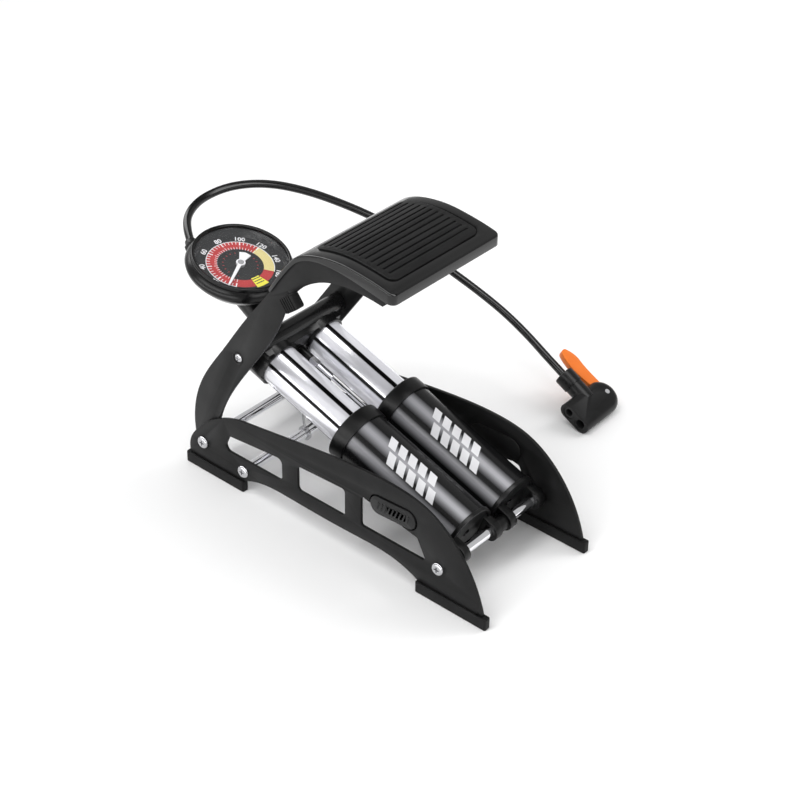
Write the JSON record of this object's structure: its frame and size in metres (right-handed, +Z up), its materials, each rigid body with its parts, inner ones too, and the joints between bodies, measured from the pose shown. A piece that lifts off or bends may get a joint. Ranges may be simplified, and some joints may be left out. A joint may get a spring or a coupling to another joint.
{
  "type": "foot pump",
  "caption": "Folding treadle foot pump with side-by-side inclined barrels, a round pressure gauge, and a hose ending in a lever-lock chuck.",
  "frame": {"origin": "on the floor, under the middle of the pump's box (frame and gauge, without the hose and chuck)", "axes": "+Z up; +X across the pump, from the gauge's side towards the side where the hose lies; +Y from the toe towards the heel, where the treadle's pivot is"},
  "size_m": [0.2793, 0.3378, 0.2333],
  "materials": {
    "frame_paint": "satin",
    "foot_rubber": "matte",
    "badge_silver": "satin",
    "chrome": "polished",
    "bright_steel": "bright zinc plate",
    "black_plastic": "satin",
    "barrel_paint": "gloss",
    "crosshead_paint": "semi-gloss",
    "seal_rubber": "matte",
    "pedal_gloss": "gloss",
    "pad_rubber": "satin",
    "gauge_case": "satin",
    "dial_print": "printed scale",
    "needle_white": "matte",
    "clear_lens": "clear",
    "brass": "satin",
    "hose_rubber": "semi-gloss",
    "chuck_plastic": "satin",
    "lever_orange": "satin"
  },
  "bodies": {
    "base": {"base_plate_left": "frame_paint", "base_plate_right": "frame_paint", "foot_rear_left": "foot_rubber", "foot_rear_right": "foot_rubber", "foot_front_left": "foot_rubber", "foot_front_right": "foot_rubber", "badge_left": "badge_silver", "badge_right": "badge_silver", "rear_pivot_shaft": "chrome", "rear_tie_rod": "chrome", "front_shaft": "chrome", "base_screws": "bright_steel", "pivot_washers": "bright_steel", "front_spacers": "black_plastic"},
    "treadle": {"arm_left": "frame_paint", "arm_right": "frame_paint", "arm_bumper_left": "foot_rubber", "arm_bumper_right": "foot_rubber", "arm_bolts": "bright_steel", "pedal_plate": "pedal_gloss", "pedal_pad": "pad_rubber", "pedal_screws": "bright_steel"},
    "barrels": {"barrel_left": "barrel_paint", "barrel_right": "barrel_paint", "barrel_cap_left": "black_plastic", "barrel_cap_right": "black_plastic", "end_cap_left": "black_plastic", "end_cap_right": "black_plastic", "guide_bush_left": "black_plastic", "guide_bush_right": "black_plastic", "intake_valves": "seal_rubber", "return_spring_left": "bright_steel", "return_spring_right": "bright_steel"},
    "plungers": {"crosshead": "crosshead_paint", "plunger_tube_left": "chrome", "plunger_tube_right": "chrome", "piston_left": "black_plastic", "piston_right": "black_plastic", "piston_seals": "seal_rubber", "outlet_valves": "seal_rubber", "guide_rod": "chrome", "guide_rod_sleeve": "black_plastic", "guide_rod_nut": "bright_steel", "gauge_housing": "gauge_case", "gauge_bezel": "gauge_case", "gauge_dial": "dial_print", "gauge_lens": "clear_lens", "gauge_movement": "brass", "gauge_stem": "black_plastic", "hose_gland": "black_plastic", "hose": "hose_rubber"},
    "needle": {"gauge_needle": "needle_white"},
    "chuck": {"chuck_body": "chuck_plastic", "lever_pin": "chrome", "port_seals": "seal_rubber", "neck_collar": "chuck_plastic"},
    "lever": {"chuck_lever": "lever_orange"},
    "catch": {"storage_catch": "bright_steel"}
  },
  "joints": [
    {"name": "treadle_hinge", "type": "hinge", "parent": "base", "child": "treadle", "pos_m": [0, 0.11771, 0.025], "axis": [1, 0, 0], "range_deg": [0, 40], "stiffness_Nm_per_rad": 3, "springref_deg": -57.3},
    {"name": "barrel_tilt", "type": "hinge", "parent": "base", "child": "barrels", "pos_m": [0, -0.11059, 0.0301], "axis": [-1, 0, 0], "range_deg": [0, 10.3]},
    {"name": "plunger_slide", "type": "slide", "parent": "barrels", "child": "plungers", "axis": [0, -0.9472, -0.3206], "range_m": [0, 0.0613], "deforming": ["return_spring_left", "return_spring_right"]},
    {"name": "hose_flex", "type": "hinge", "parent": "plungers", "child": "chuck", "pos_m": [0, -0.19104, 0.36328], "axis": [1, 0, 0], "range_deg": [0, 10.3], "deforming": ["hose"]},
    {"name": "needle_turn", "type": "hinge", "parent": "plungers", "child": "needle", "pos_m": [-0.015, 0.11486, 0.16062], "axis": [0, 0.2317, -0.9728], "range_deg": [0, 270], "stiffness_Nm_per_rad": 0.0002, "springref_deg": -28.65},
    {"name": "lever_turn", "type": "hinge", "parent": "chuck", "child": "lever", "pos_m": [0.20958, -0.05419, 0.01012], "axis": [-0.0175, 0.4997, -0.866], "range_deg": [0, 80]},
    {"name": "catch_turn", "type": "hinge", "parent": "base", "child": "catch", "pos_m": [0.0082, 0.07621, 0.0187], "axis": [1, 0, 0], "range_deg": [0, 30]}
  ],
  "couplings": [
    {"joint": "barrel_tilt", "follows": "treadle_hinge", "ratio": 0.25627},
    {"joint": "plunger_slide", "follows": "treadle_hinge", "m_per_rad": 0.087721},
    {"joint": "hose_flex", "follows": "treadle_hinge", "ratio": 0.25627}
  ]
}
